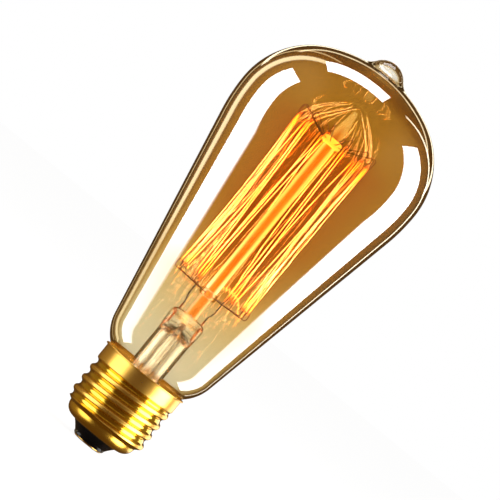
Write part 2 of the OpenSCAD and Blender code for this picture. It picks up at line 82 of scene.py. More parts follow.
stem_r = 5.2
stem_wall = 0.8
press_z = 38.8
press_r = 5.55
press_flat = 3.2
press_run = 3
press_edge = 1.6
dent_depth = 0.55
dent_low = 2
dent_high = 6.2
dent_edge = 0.8
exhaust_r = 1.6
exhaust_bore_r = 1.0
exhaust_tip_z = 9.5
exhaust_top_z = press_z + 0.45
exhaust_hole_z = 42.4

support_count = 12
support_r = 0.2
support_sink = 1.5
cage_top_r = 12.6
cage_low_r = 12.1
upper_rise = 4.2
upper_leg = 2.9
lower_rise = 0.5
lower_leg = 1.7
leg_turn = 0.7
hook_turn = 0.65
hook_tail = 0.7
filament_r = 0.2
filament_turn = 0.46
filament_fit = 0.06
weld_l = 1.6
strand_bow = (-1.6, 0.6)
strand_sway = (-1.3, 1.3)

seal_x = 3.95
seal_wire_r = 0.25
inner_lead_r = 0.3
lead_turn = 2
lead_top_r = 4.8
lead_top_up = 4

crest_r = 13.15
thread_depth = 1.0
thread_pitch = 3.63
thread_front_z = 15.2
thread_low_z = 7.1
thread_top_z = 21.7
thread_fade = 1.1
bead_r = 11.4
bead_turn = 3.3
bead_stop = 6
run_in = 1.5
lip_r = 7.45
sheet = 0.3
rim_reach = 0.55
rim_h = 0.7
rim_roll = 0.24
rim_turn = 0.5

contact_bore_r = 1
insulator_foot_r = 4.6
insulator_r = 5.15
insulator_edge = 0.5
insulator_cone = [(5.45, 1.55), (5.95, 2.2), (6.5, 2.85), (7.05, 3.4)]
insulator_seat_z = 4.15
insulator_seat_r = 8.1
insulator_top_r = 9.5

glass_steps = 144
shell_steps = 160
stem_steps = 96
small_steps = 64
exhaust_steps = 48
hook_steps = 12
strand_steps = 10
wire_sides = 3
wire_fit = 0.03
cap_fit = 0.05

# Shares of the solids' thickness that the cage's wires and its thread are drawn with
drawn_wire = 0.7
drawn_thread = 0.21


# Profiles and paths

def arc(mid, r, start, end, steps, first=0):
    """Points on an arc of a profile, with its angles in degrees."""
    turns = [math.radians(start + (end - start) * i / steps) for i in range(first, steps + 1)]
    return [(mid[0] + r * math.cos(a), mid[1] + r * math.sin(a)) for a in turns]


def unit(a):
    """Outward direction at an azimuth in degrees."""
    return Vector((math.cos(math.radians(a)), math.sin(math.radians(a)), 0))


def along_ring(a):
    """Direction along the cage's ring at an azimuth."""
    return Vector((-math.sin(math.radians(a)), math.cos(math.radians(a)), 0))


def rounded(path, turn, steps=8):
    """A path of straight runs whose corners are rounded by a radius."""
    points = [Vector(path[0])]
    for before, corner, after in zip(path, path[1:], path[2:]):
        corner = Vector(corner)
        back = (Vector(before) - corner).normalized()
        ahead = (Vector(after) - corner).normalized()
        half = math.acos(max(-1, min(1, back.dot(ahead)))) / 2
        half_way = (back + ahead).normalized()
        across = (ahead - back).normalized()
        mid = corner + half_way * turn / math.sin(half)
        sweep = math.pi / 2 - half
        for s in range(steps + 1):
            a = sweep * (2 * s / steps - 1)
            points.append(mid + turn * (math.sin(a) * across - math.cos(a) * half_way))
    return points + [Vector(path[-1])]


# Outline of the glass: the same arcs as the frame's, from the tip down to the neck
shoulder_x = bulb_r - shoulder_r
tip_z = overall_h - tip_r
crown_z = overall_h - tip_reach - crown_r
bulb_z = crown_z + math.sqrt((crown_r - shoulder_r) ** 2 - shoulder_x ** 2)
shoulder_a = math.degrees(math.atan2(bulb_z - crown_z, shoulder_x))
neck_turn_x = neck_r + neck_turn_r
mouth_r = crest_r - sheet - mouth_gap
neck_turn_z = cap_h - math.sqrt(neck_turn_r ** 2 - (neck_turn_x - mouth_r) ** 2)
foot_x = foot_d / 2 - foot_r
foot_z = neck_turn_z + math.sqrt((foot_r + neck_turn_r) ** 2 - (neck_turn_x - foot_x) ** 2)
neck_turn_a = math.degrees(math.atan2(neck_turn_z - foot_z, neck_turn_x - foot_x))
hip_x = bulb_r - hip_r
hip_to_foot = math.hypot(hip_x - foot_x, bulb_z - foot_z)
cone_a = math.degrees(math.acos((foot_r - hip_r) / hip_to_foot)
                      - math.atan2(bulb_z - foot_z, hip_x - foot_x))


def glass_outline(depth, tip_depth):
    """The envelope's outline, sunk below the outer surface by one depth and in the tip by another."""
    tip, crown, turn = tip_r - tip_depth, crown_r - depth, tip_turn_r + depth
    z = (((crown + turn) ** 2 - (tip + turn) ** 2 + tip_z ** 2 - crown_z ** 2)
         / (2 * (tip_z - crown_z)))
    mid = (math.sqrt((tip + turn) ** 2 - (z - tip_z) ** 2), z)
    tip_a = math.degrees(math.atan2(z - tip_z, mid[0]))
    crown_a = math.degrees(math.atan2(z - crown_z, mid[0]))
    return (arc((0, tip_z), tip, 90, tip_a, 14)
            + arc(mid, turn, tip_a + 180, crown_a + 180, 10, 1)
            + arc((0, crown_z), crown, crown_a, shoulder_a, 16, 1)
            + arc((shoulder_x, bulb_z), shoulder_r - depth, shoulder_a, 0, 24, 1)
            + arc((hip_x, bulb_z), hip_r - depth, 0, -cone_a, 10, 1)
            + arc((foot_x, foot_z), foot_r - depth, -cone_a, neck_turn_a, 16)
            + arc((neck_turn_x, neck_turn_z), neck_turn_r + depth, neck_turn_a + 180, 180, 10, 1)
            + [(neck_r - depth, seal_z)])


# Pieces

def keep(piece, slot, *nodes):
    """The piece moves with the lamp and stands for the nodes, which are hidden. The slot is not used."""
    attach(piece, "root")
    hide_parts(*nodes)
    return piece


def piece_from(bm, name, finish, smooth_to=40):
    """Closes the mesh, turns its faces outwards, and makes it an object in metres."""
    bmesh.ops.remove_doubles(bm, verts=bm.verts, dist=1e-4)
    bmesh.ops.dissolve_degenerate(bm, edges=bm.edges, dist=1e-4)
    bmesh.ops.recalc_face_normals(bm, faces=bm.faces)
    for face in bm.faces:
        face.smooth = True
    for edge in bm.edges:
        edge.smooth = len(edge.link_faces) == 2 and edge.calc_face_angle(0) < math.radians(smooth_to)
    bmesh.ops.scale(bm, verts=bm.verts, vec=(MM, MM, MM))
    mesh = bpy.data.meshes.new(name)
    bm.to_mesh(mesh)
    bm.free()
    mesh.materials.append(finish)
    piece = bpy.data.objects.new(name, mesh)
    bpy.context.scene.collection.objects.link(piece)
    return piece


def turned_mesh(outline, steps):
    """A solid of revolution. Half of its outline closes on itself, or has both its ends on the axis."""
    bm = bmesh.new()
    verts = [bm.verts.new((x, 0, z)) for x, z in outline]
    edges = [bm.edges.new(pair) for pair in zip(verts, verts[1:])]
    if outline[0][0] > 0 or outline[-1][0] > 0:
        edges.append(bm.edges.new((verts[-1], verts[0])))
    bmesh.ops.spin(bm, geom=verts + edges, cent=(0, 0, 0), axis=(0, 0, 1), angle=2 * math.pi,
                   steps=steps, use_merge=True)
    bmesh.ops.remove_doubles(bm, verts=bm.verts, dist=1e-4)
    return bm


def turned(name, outline, finish, steps):
    """A turned piece."""
    return piece_from(turned_mesh(outline, steps), name, finish)


def wire(name, path, r, finish):
    """A round wire along a path, with closed ends."""
    curve = bpy.data.curves.new(name, "CURVE")
    curve.dimensions = "3D"
    curve.bevel_depth = r * MM
    curve.bevel_resolution = wire_sides
    curve.use_fill_caps = True
    spline = curve.splines.new("POLY")
    spline.points.add(len(path) - 1)
    for point, place in zip(spline.points, path):
        point.co = (*(Vector(place) * MM), 1)
    curve.materials.append(finish)
    piece = bpy.data.objects.new(name, curve)
    bpy.context.scene.collection.objects.link(piece)
    return piece


# Finishes

class Value:
    """A socket of a finish. Python's operators on it add Math nodes."""

    def __init__(self, tree, socket):
        self.tree = tree
        self.socket = socket

    def math(self, operation, *values, clamp=False):
        return self.tree.node("ShaderNodeMath", values, operation=operation, use_clamp=clamp)

    def __add__(self, other):
        return self.math("ADD", self, other)

    def __sub__(self, other):
        return self.math("SUBTRACT", self, other)

    def __rsub__(self, other):
        return self.math("SUBTRACT", other, self)

    def __mul__(self, other):
        return self.math("MULTIPLY", self, other)

    def __truediv__(self, other):
        return self.math("DIVIDE", self, other)

    def __pow__(self, other):
        return self.math("POWER", self, other)

    __radd__ = __add__
    __rmul__ = __mul__

    def between(self, low, high):
        """0 below low, 1 above high and smooth between them."""
        return self.tree.node("ShaderNodeMapRange", [self, low, high, 0, 1],
                              interpolation_type="SMOOTHSTEP")

    def clamped(self):
        """The value, held between 0 and 1."""
        return self.math("ADD", self, 0, clamp=True)


class Tree:
    """A node tree under construction."""

    def __init__(self, tree):
        self.tree = tree

    def node(self, kind, inputs=(), output=0, stops=None, **settings):
        """Adds a node: its settings first, then the values or links of its sockets."""
        added = self.tree.nodes.new(kind)
        for name, value in settings.items():
            setattr(added, name, value)
        if stops:
            ramp = added.color_ramp
            while len(ramp.elements) < len(stops):
                ramp.elements.new(1)
            for element, (place, colour) in zip(ramp.elements, stops):
                element.position = place
                element.color = (*colour, 1)
        self.feed(added, inputs)
        return Value(self, added.outputs[output])

    def feed(self, added, inputs):
        """Values or links for a node's sockets, by their names or in their order."""
        named = inputs.items() if isinstance(inputs, dict) else enumerate(inputs)
        for key, value in named:
            socket = added.inputs[key]
            if isinstance(value, Value):
                self.tree.links.new(value.socket, socket)
            elif hasattr(value, "__len__") and socket.type == "RGBA":
                socket.default_value = (*value, 1)
            else:
                socket.default_value = value

    def ramp(self, value, *stops):
        """A colour by the value, from stops of a place and a colour."""
        return self.node("ShaderNodeValToRGB", [value], stops=stops)

    def mix(self, share, one, other, blend="MIX"):
        """A colour from one to the other."""
        return self.node("ShaderNodeMix", {0: share, 6: one, 7: other}, output=2, data_type="RGBA",
                         blend_type=blend)


class Finish(Tree):
    """A material on the Principled shader, with the place on the lamp in millimetres."""

    def __init__(self, name, **shader):
        self.material = bpy.data.materials.new(name)
        self.material.use_nodes = True
        super().__init__(self.material.node_tree)
        self.shader = self.tree.nodes["Principled BSDF"]
        self.output = self.tree.nodes["Material Output"]
        self.set(**shader)
        place = self.node("ShaderNodeTexCoord", output="Object")
        self.place = self.node("ShaderNodeVectorMath", {0: place, "Scale": 1 / MM}, operation="SCALE")
        split = self.node("ShaderNodeSeparateXYZ", [self.place]).socket.node
        self.z = Value(self, split.outputs["Z"])

    def set(self, **shader):
        """Values or links of the shader's sockets, with _ for a space in their names."""
        self.feed(self.shader, {key.replace("_", " "): value for key, value in shader.items()})

    def radius(self):
        """Distance from the lamp's axis in millimetres."""
        flat = self.node("ShaderNodeVectorMath", [self.place, (1, 1, 0)], operation="MULTIPLY")
        return self.node("ShaderNodeVectorMath", [flat], output="Value", operation="LENGTH")

    def noise(self, scale, stretch=WHITE, detail=3, roughness=0.5):
        """Noise of about 1/scale millimetres, finer along the stretched axes."""
        place = self.node("ShaderNodeVectorMath", [self.place, stretch], operation="MULTIPLY")
        return self.node("ShaderNodeTexNoise", {"Vector": place, "Scale": scale, "Detail": detail,
                                                "Roughness": roughness})

    def bump(self, height, strength, distance):
        """Bumps on the surface, with their distance in millimetres."""
        bumps = self.node("ShaderNodeBump", {"Strength": strength, "Distance": distance * MM,
                                             "Height": height})
        self.set(Normal=bumps)

    def lamps_pass(self, tint):
        """Lets lamplight through the glass with that tint, in place of a black shadow."""
        shadow = self.node("ShaderNodeLightPath", output="Is Shadow Ray")
        see_through = self.node("ShaderNodeBsdfTransparent", {"Color": tint})
        shader = Value(self, self.shader.outputs[0])
        surface = self.node("ShaderNodeMixShader", [shadow, shader, see_through])
        self.feed(self.output, {"Surface": surface})


# Heights over which the amber glass gains its full gloss, and over which the painted deeper orange in
# front of the cage starts and ends
gloss_rise = (53, 70)
middle_start = (50, 62)
middle_end = (106, 114)


def amber_glass():
    """Blown glass, amber at the crown and nearly clear at the neck. Edge on it turns brown, partly from
    the longer path through the amber and partly as painted light and dark refraction bands. It also has
    painted shade at the tip's foot and a painted deeper orange in front of the cage.
    """
    glass = Finish("amber_glass", Transmission_Weight=1, Roughness=0, IOR=1.5, Coat_Roughness=0,
                   Coat_IOR=2.6)
    outside = 1 - glass.node("ShaderNodeNewGeometry", output="Backfacing")
    gloss = glass.z.between(*gloss_rise) * 0.6 + 0.4
    tip = glass.z.between(tip_z - 1.5, tip_z + 0.5)
    glass.set(Coat_Weight=outside * gloss * (1 - tip))
    streaks = glass.noise(0.05, (1, 1, 0.3))
    height = (glass.z + (streaks - 0.5) * 10) / overall_h
    # The dark stop just under the tip is painted shade at the tip's foot; the rest of the tint is the
    # glass's own amber.
    tint = glass.ramp(height, (0.17, (0.95, 0.89, 0.70)), (0.28, (0.94, 0.85, 0.62)),
                      (0.42, (0.91, 0.70, 0.35)), (0.58, (0.79, 0.50, 0.13)),
                      (0.80, (0.76, 0.48, 0.12)), (0.935, (0.76, 0.50, 0.16)),
                      (0.952, (0.60, 0.34, 0.10)), (0.966, (0.97, 0.94, 0.86)))
    edge = glass.node("ShaderNodeLayerWeight", {"Blend": 0.5}, output="Facing")
    # Painted light and shade by how edge on the glass is seen: the browning is partly the real longer path
    # through the amber, and the lighter and darker bands are painted refraction lines.
    shade = glass.ramp(edge, (0.45, WHITE), (0.53, (0.88, 0.78, 0.55)), (0.60, (0.66, 0.46, 0.20)),
                       (0.70, (0.90, 0.74, 0.42)), (0.82, (0.72, 0.50, 0.22)),
                       (0.95, (0.50, 0.30, 0.11)))
    # Painted shade: a deeper orange where the glass is seen face on in front of the cage.
    middle = (glass.z.between(*middle_start) * (1 - glass.z.between(*middle_end))
              * (1 - edge.between(0.04, 0.14)))
    shade = glass.mix(middle, shade, (0.97, 0.69, 0.42))
    glass.set(Base_Color=glass.mix(1.0, tint, shade, blend="MULTIPLY"))
    glass.bump(glass.noise(0.12, detail=1), 0.05, 0.04)
    glass.lamps_pass((0.96, 0.90, 0.78))
    return glass.material


def clear_glass():
    """Clear glass of the stem, with painted light and dark refraction lines of a tube seen aslant, painted
    shade round its exhaust hole, and painted orange light in the press for the light that comes down the
    rod."""
    glass = Finish("clear_glass", Transmission_Weight=1, Roughness=0, IOR=1.5, Coat_Weight=1,
                   Coat_Roughness=0.15, Coat_IOR=1.8, Emission_Strength=1.1)
    cords = glass.noise(0.35, (1, 1, 0.15), detail=1)
    slant = glass.node("ShaderNodeLayerWeight", {"Blend": 0.5}, output="Facing")
    across = (slant * (2 - slant)) ** 0.5 + (cords - 0.5) * 0.1
    # Painted light and shade: light and dark refraction lines by how aslant the tube is seen.
    lines = glass.ramp(across, (0.0, WHITE), (0.28, (0.98, 0.95, 0.90)),
                       (0.36, (0.35, 0.28, 0.22)), (0.44, WHITE), (0.55, WHITE), (0.80, WHITE),
                       (0.85, (0.02, 0.015, 0.01)), (0.92, (0.90, 0.86, 0.80)),
                       (1.0, (0.30, 0.20, 0.10)))
    # Painted shade: brown round the exhaust hole.
    hole_mid = (0, 0, exhaust_hole_z)
    aside = glass.node("ShaderNodeVectorMath", [glass.place, hole_mid], operation="SUBTRACT")
    aside = glass.node("ShaderNodeVectorMath", [aside, (1, 0, 1)], operation="MULTIPLY")
    aside = glass.node("ShaderNodeVectorMath", [aside], output="Value", operation="LENGTH")
    lines = glass.mix((1 - aside.between(0.85, 1.35)) * 0.9, lines, (0.30, 0.14, 0.06))
    # Painted light: orange emission in the press's middle, fainter above the press, for the light that
    # comes down the rod.
    painted_rod_light = glass.z.between(press_z + 4, press_top_z - 0.5) * (1 - glass.radius().between(2.4, 4.2))
    painted_rod_light = painted_rod_light * (1 - glass.z.between(press_top_z + 1, press_top_z + 3) * 0.8)
    glass.set(Base_Color=lines,
              Emission_Color=glass.mix(painted_rod_light * cords.between(0.3, 0.6), (0, 0, 0), (1.0, 0.40, 0.05)))
    glass.bump(cords, 0.2, 0.1)
    glass.lamps_pass((0.95, 0.93, 0.9))
    return glass.material


def rod_glass():
    """Milky glass of the rod, with the filament's light painted into it: an orange core, emission above
    the lower wires, and painted cream highlights at its edges.
    """
    glass = Finish("rod_glass", Transmission_Weight=0.6, Roughness=0.05, IOR=1.5, Coat_Weight=1,
                   Coat_Roughness=0.2, Coat_IOR=1.8, Emission_Strength=2.0)
    slant = glass.node("ShaderNodeLayerWeight", {"Blend": 0.5}, output="Facing")
    streaks = glass.noise(0.5, (1, 1, 0.08), detail=2)
    # Painted light: the orange core and the emission stand in for the filament's light in the rod.
    painted_orange_core = glass.mix(streaks.between(0.35, 0.65), (0.60, 0.24, 0.03), (0.95, 0.52, 0.16))
    lit = glass.z.between(lower_wire_z - 2, lower_wire_z + 3)
    glow = glass.mix((slant + (streaks - 0.5) * 0.1).between(0.03, 0.25), (0.24, 0.06, 0.003),
                     (0.62, 0.75, 0.80))
    # Painted highlight: cream where the rod is seen aslant.
    glass.set(Base_Color=glass.mix(slant.between(0.05, 0.35), painted_orange_core, (1.0, 0.95, 0.82)),
              Emission_Color=glass.mix(lit, (0.05, 0.01, 0.0), glow))
    glass.bump(streaks, 0.1, 0.05)
    glass.lamps_pass((0.9, 0.85, 0.75))
    return glass.material


def button_glass():
    """Bead glass, milky where the wires were pressed in, with painted yellow light of the filament as its
    emission.
    """
    glass = Finish("button_glass", Transmission_Weight=0.3, Roughness=0.25, IOR=1.5,
                   Emission_Strength=2.2)
    cloud = glass.noise(0.9)
    # The emission is painted light of the filament.
    glass.set(Base_Color=glass.mix(cloud, (0.95, 0.78, 0.42), (1.0, 0.93, 0.72)),
              Emission_Color=glass.mix(cloud, (1.0, 0.62, 0.15), (1.0, 0.85, 0.4)))
    glass.bump(cloud, 0.2, 0.1)
    glass.lamps_pass((0.8, 0.7, 0.5))
    return glass.material


def cap_brass():
    """Lacquered brass: a satin collar and thread crests, smoother grooves, and painted shade on the bead
    at its foot.
    """
    brass = Finish("cap_brass", Metallic=1)
    radius = brass.radius()
    crest = radius.between(crest_r - 0.75 * thread_depth, crest_r)
    collar = brass.z.between(thread_top_z - 0.8, thread_top_z + 0.4)
    bead = 1 - brass.z.between(thread_low_z - 0.5, thread_low_z + 0.5)
    patches = brass.noise(0.22, detail=4, roughness=0.6)
    specks = brass.noise(3.5, detail=3, roughness=0.7)
    gold = brass.mix(collar.math("MAXIMUM", collar, crest), (0.88, 0.60, 0.07), (0.90, 0.55, 0.11))
    # Painted shade: the bead at the foot is darker.
    gold = brass.mix(bead * 0.5, gold, (0.70, 0.38, 0.05))
    gold = brass.mix(patches.between(0.35, 0.8) * 0.35, gold, (0.66, 0.33, 0.05))
    gold = brass.mix(specks.between(0.62, 0.72) * 0.25, gold, (0.35, 0.17, 0.04))
    brass.set(Base_Color=gold)
    satin = collar * 0.19 + crest * (1 - collar) * 0.18 + bead * 0.14
    brass.set(Roughness=satin + patches * 0.08 + 0.06)
    turning = brass.noise(1.0, (0.4, 0.4, 14), detail=2)
    brass.bump(turning * 0.7 + specks * 0.3, 0.12, 0.05)
    return brass.material


def contact_brass():
    """Bare brass of the contact plate, with round turning marks."""
    brass = Finish("contact_brass", Metallic=1)
    rings = brass.noise(1.0, (0.3, 0.3, 1)) * 0.2 + brass.radius() * 6
    marks = brass.node("ShaderNodeTexWave", {"Vector": brass.place, "Scale": 1.2, "Distortion": 2},
                       output=1, wave_type="RINGS", rings_direction="Z")
    tarnish = brass.noise(0.8, detail=4)
    brass.set(Base_Color=brass.mix(tarnish.between(0.4, 0.7), (0.85, 0.55, 0.16), (0.55, 0.33, 0.10)),
              Roughness=marks * 0.12 + 0.2)
    brass.bump(rings.math("SINE", rings) * 0.5 + marks * 0.5, 0.1, 0.03)
    return brass.material


def black_glass():
    """Pressed black glass of the insulator, glossy, with faint flow lines."""
    glass = Finish("black_glass", IOR=1.45, Specular_IOR_Level=0.15)
    flow = glass.noise(0.5, (1, 1, 3))
    glass.set(Base_Color=glass.mix(flow, (0.001, 0.001, 0.001), (0.004, 0.004, 0.005)),
              Roughness=flow * 0.05 + 0.03)
    glass.bump(flow, 0.15, 0.1)
    return glass.material


def solder():
    """Tin solder, dull in places, as it set from a drop."""
    tin = Finish("solder", Metallic=1)
    frost = tin.noise(1.6, detail=4)
    tin.set(Base_Color=tin.mix(frost.between(0.4, 0.7), (0.72, 0.71, 0.69), (0.42, 0.41, 0.40)),
            Roughness=frost * 0.35 + 0.12)
    tin.bump(frost, 0.3, 0.1)
    return tin.material


def cement():
    """Baked capping cement, sandy."""
    sand = Finish("capping_cement")
    grain = sand.noise(4, detail=4, roughness=0.7)
    sand.set(Base_Color=sand.mix(grain, (0.40, 0.33, 0.09), (0.66, 0.56, 0.20)), Roughness=0.8)
    sand.bump(grain, 0.5, 0.15)
    return sand.material


def wire_metal(name, colour, dark, metallic=0.9, glow=0):
    """Drawn wire, oxidised in bands along its length, with painted red light glowing on the outer part of
    the cage, where the wires hold the hot thread.
    """
    metal = Finish(name, Metallic=metallic, Emission_Strength=glow)
    bands = metal.noise(0.6, detail=4)
    fine = metal.noise(6, (1, 1, 4))
    # Painted light: red emission on the wires' outer part, scaled by their glow strength.
    hot = metal.radius().between(0.55 * cage_low_r, cage_low_r)
    metal.set(Base_Color=metal.mix(bands.between(0.35, 0.65), colour, dark), Roughness=fine * 0.3 + 0.22,
              Emission_Color=metal.mix(hot, (0, 0, 0), (1.0, 0.16, 0.01)))
    metal.bump(fine, 0.2, 0.02)
    return metal.material


def glowing_filament():
    """Carbon thread at yellow heat, cooler where the hooks carry it."""
    thread = Finish("glowing_filament", Base_Color=(0.05, 0.04, 0.04), Roughness=0.6,
                    Emission_Strength=46)
    share = (thread.z - lower_seat_z) / (upper_seat_z - lower_seat_z)
    heat = thread.ramp(share, (0.0, (0.25, 0.03, 0.002)), (0.06, (0.8, 0.30, 0.05)),
                       (0.2, (1.0, 0.72, 0.50)), (0.8, (1.0, 0.66, 0.80)),
                       (0.94, (0.8, 0.30, 0.06)), (1.0, (0.25, 0.03, 0.002)))
    spread = thread.noise(0.16, (1, 1, 0.25), detail=2)
    thread.set(Emission_Color=thread.mix(spread.between(0.45, 0.7) * 0.75, heat, (0.16, 0.05, 0.008)))
    thread.bump(thread.noise(2.5), 0.3, 0.03)
    return thread.material


# Cage: hooks on the supports, and the filament that runs over and under them

hook_step = 360 / support_count
gap_azimuth = -86
upper_wire_z = (rod_top_z + upper_button_high.z / MM) / 2
lower_wire_z = (lower_button_low.z + lower_button_high.z) / 2 / MM
upper_hook_z = upper_wire_z + upper_rise - upper_leg
lower_hook_z = lower_wire_z + lower_rise + lower_leg
upper_seat_z = upper_hook_z - hook_turn
lower_seat_z = lower_hook_z + hook_turn


def upper_azimuth(i):
    """Where the upper hooks stand, in degrees."""
    return gap_azimuth - hook_step * (i + 0.5)


def lower_azimuth(i):
    """Where the lower hooks stand, between the upper ones."""
    return gap_azimuth - hook_step * (i + 1)


def support_path(a, start_r, wire_z, clear_r, outer_z, hook_z, cage_r):
    """Out of the button, along, up or down the leg and round the hook."""
    way = -1 if outer_z > hook_z else 1
    leg_r = cage_r + hook_turn
    flat = rounded([(start_r, 0, wire_z), (clear_r, 0, wire_z), (leg_r, 0, outer_z),
                    (leg_r, 0, hook_z)], leg_turn)
    turns = [math.pi * s / hook_steps for s in range(1, hook_steps + 1)]
    hook = [(cage_r + hook_turn * math.cos(t), 0, hook_z + way * hook_turn * math.sin(t)) for t in turns]
    tail = [(cage_r - hook_turn, 0, hook_z - way * hook_tail)]
    return [p[0] * unit(a) + Vector((0, 0, p[2])) for p in [*flat, *hook, *tail]]


def filament_hook(a, cage_r, z, way):
    """The half turn of the filament round one hook."""
    turns = [math.pi * s / hook_steps for s in range(hook_steps + 1)]
    return [cage_r * unit(a) + Vector((0, 0, z)) + filament_turn
            * (math.cos(t) * along_ring(a) + way * math.sin(t) * Vector((0, 0, 1))) for t in turns]


def strand(start, end, bow, sway):
    """The points between two hooks, where the hot thread bows outwards and sways along the cage."""
    outward = ((start + end) / 2 * Vector((1, 1, 0))).normalized()
    aside = Vector((-outward.y, outward.x, 0))
    shares = [s / strand_steps for s in range(1, strand_steps)]
    return [start.lerp(end, s) + (outward * bow + aside * sway) * math.sin(math.pi * s) for s in shares]


# Each inner lead stands midway between two lower supports, short of a quarter turn from the gap
lead_step = math.ceil(90 / hook_step - 1) + 0.5


def inner_lead_top(side):
    """The upper end of the left lead, at -1, or of the right one, at 1."""
    outward = unit(gap_azimuth + side * lead_step * hook_step)
    return lead_top_r * outward + Vector((0, 0, lower_button_low.z / MM + lead_top_up))


def weld(side):
    """Where the thread lies along its lead, on the lead's front."""
    front = inner_lead_top(side) - Vector((0, inner_lead_r + filament_fit + filament_r, 0))
    return [front - Vector((0, 0, weld_l)), front]


def filament_path():
    """One thread: from the left lead over and under every hook to the right lead."""
    loose = random.Random(7)
    hooks = []
    for i in range(support_count):
        hooks.append(filament_hook(upper_azimuth(i), cage_top_r, upper_seat_z, 1))
        if i < support_count - 1:
            hooks.append(filament_hook(lower_azimuth(i), cage_low_r, lower_seat_z, -1))
    path = weld(-1)
    for hook in hooks:
        bow, sway = loose.uniform(*strand_bow), loose.uniform(*strand_sway)
        path += strand(path[-1], hook[0], bow, sway) + hook
    end = weld(1)[::-1]
    return path + strand(path[-1], end[0], 0, 0.2) + end


# Cap: the rolled thread

thread_arc_r = thread_depth / 4 + thread_pitch ** 2 / (16 * thread_depth)


def thread_rise(u):
    """Height of the thread over its root, at a distance from the crest along the lamp."""
    if u < thread_pitch / 4:
        return thread_depth - thread_arc_r + math.sqrt(thread_arc_r ** 2 - u * u)
    return thread_arc_r - math.sqrt(thread_arc_r ** 2 - (thread_pitch / 2 - u) ** 2)


def thread_r(z, a):
    """Radius of the shell's outer face on the thread, at a height and an azimuth in degrees."""
    turns = (z - thread_front_z) / thread_pitch - (a + 90) / 360
    sunk = thread_depth - thread_rise(abs(turns - round(turns)) * thread_pitch)
    fade = max(0, min(1, (thread_top_z - z) / thread_fade))
    return min(crest_r - sunk * fade, bead_r + run_in * (z - thread_low_z))


def screw_shell(finish):
    """The brass shell, turned with plain walls, whose thread zone is then moved onto the helix."""
    bead = (bead_r - bead_turn, thread_low_z)
    rows = 64
    heights = [thread_low_z + (thread_top_z - thread_low_z) * i / rows for i in range(rows + 1)]
    collar_heights = (22.5, 23.5, 24.5)
    roll = (crest_r + rim_reach - rim_roll, cap_h - rim_roll)
    outline = ([(lip_r, bead_z)] + arc(bead, bead_turn, -90, -bead_stop, 10)
               + [(crest_r, z) for z in heights]
               + [(crest_r, z) for z in collar_heights]
               + arc((crest_r + rim_turn, cap_h - rim_h), rim_turn, 180, 120, 4)
               + arc(roll, rim_roll, -60, 140, 10)
               + [(crest_r - sheet, cap_h - rim_h)]
               + [(crest_r - sheet, z) for z in reversed(heights)]
               + arc(bead, bead_turn - sheet, -bead_stop, -90, 10) + [(lip_r, bead_z + sheet)])
    bm = turned_mesh(outline, shell_steps)
    for v in bm.verts:
        plain_r = math.hypot(v.co.x, v.co.y)
        if thread_low_z - 1e-4 < v.co.z < thread_top_z + 1e-4 and plain_r > crest_r - sheet - 1e-3:
            r = thread_r(v.co.z, math.degrees(math.atan2(v.co.y, v.co.x))) - (crest_r - plain_r)
            v.co.x *= r / plain_r
            v.co.y *= r / plain_r
    return piece_from(bm, "shell_brass", finish, smooth_to=60)


# Stem: the flared tube, pinched at its upper end round the wires

def smooth(share):
    """0 to 1 with soft ends."""
    share = max(0, min(1, share))
    return share * share * (3 - 2 * share)


def pinch(y, z):
    """How far from the middle plane a point of the press lies after the pinching."""
    up = z - press_z
    share = smooth((up + 0.6) / press_run)
    pinched = y / (1 + (abs(y) / press_flat) ** 4) ** 0.25
    dent = dent_depth * smooth((up - dent_low) / dent_edge) * smooth((dent_high - up) / dent_edge)
    return y + share * (pinched * (1 - dent * abs(pinched) / press_flat ** 2) - y)


def stem_glass(finish):
    """The stem with its two bores: down the press's middle, and out of its front."""
    bore_r = stem_r - stem_wall
    flare_turn = neck_r - glass_wall - stem_r
    flare = (neck_r - glass_wall, seal_z + flare_turn)
    outer_heights = (24, 28, 32, 36)
    bore_heights = (34, 30, 26)
    outline = ([(neck_r, seal_z - stem_wall), (neck_r, seal_z - 0.01)]
               + arc(flare, flare_turn, 270, 180, 14)
               + [(stem_r, z) for z in outer_heights]
               + [(stem_r - 0.02, press_z - 0.6), (stem_r + 0.05, press_z + 0.8)]
               + [(press_r - 0.08, press_z + 2.4), (press_r, press_z + 4.2)]
               + arc((press_r - press_edge, press_top_z - 2.0), press_edge, 8, 78, 8)
               + [(2.9, press_top_z - 0.25), (rod_r + 0.35, press_top_z - 0.05), (rod_r, press_top_z)]
               + [(0, press_top_z), (0, press_z + 0.6), (exhaust_r, press_z + 0.5)]
               + arc((exhaust_r + 1.1, press_z - 0.9), bore_r - exhaust_r - 1.1, 80, 0, 8)
               + [(bore_r, z) for z in bore_heights]
               + arc(flare, flare_turn + stem_wall, 180, 270, 14))
    bm = turned_mesh(outline, stem_steps)
    for v in bm.verts:
        v.co.y = pinch(v.co.y, v.co.z)
    stem = piece_from(bm, "stem_glass", finish, smooth_to=50)
    cut_bore(stem, (0, 0, 1), (0, 0, exhaust_hole_z - 1.4), 4.6)
    cut_bore(stem, (0, -1, 0), (0, -2.4, exhaust_hole_z), 4.8)
    return stem


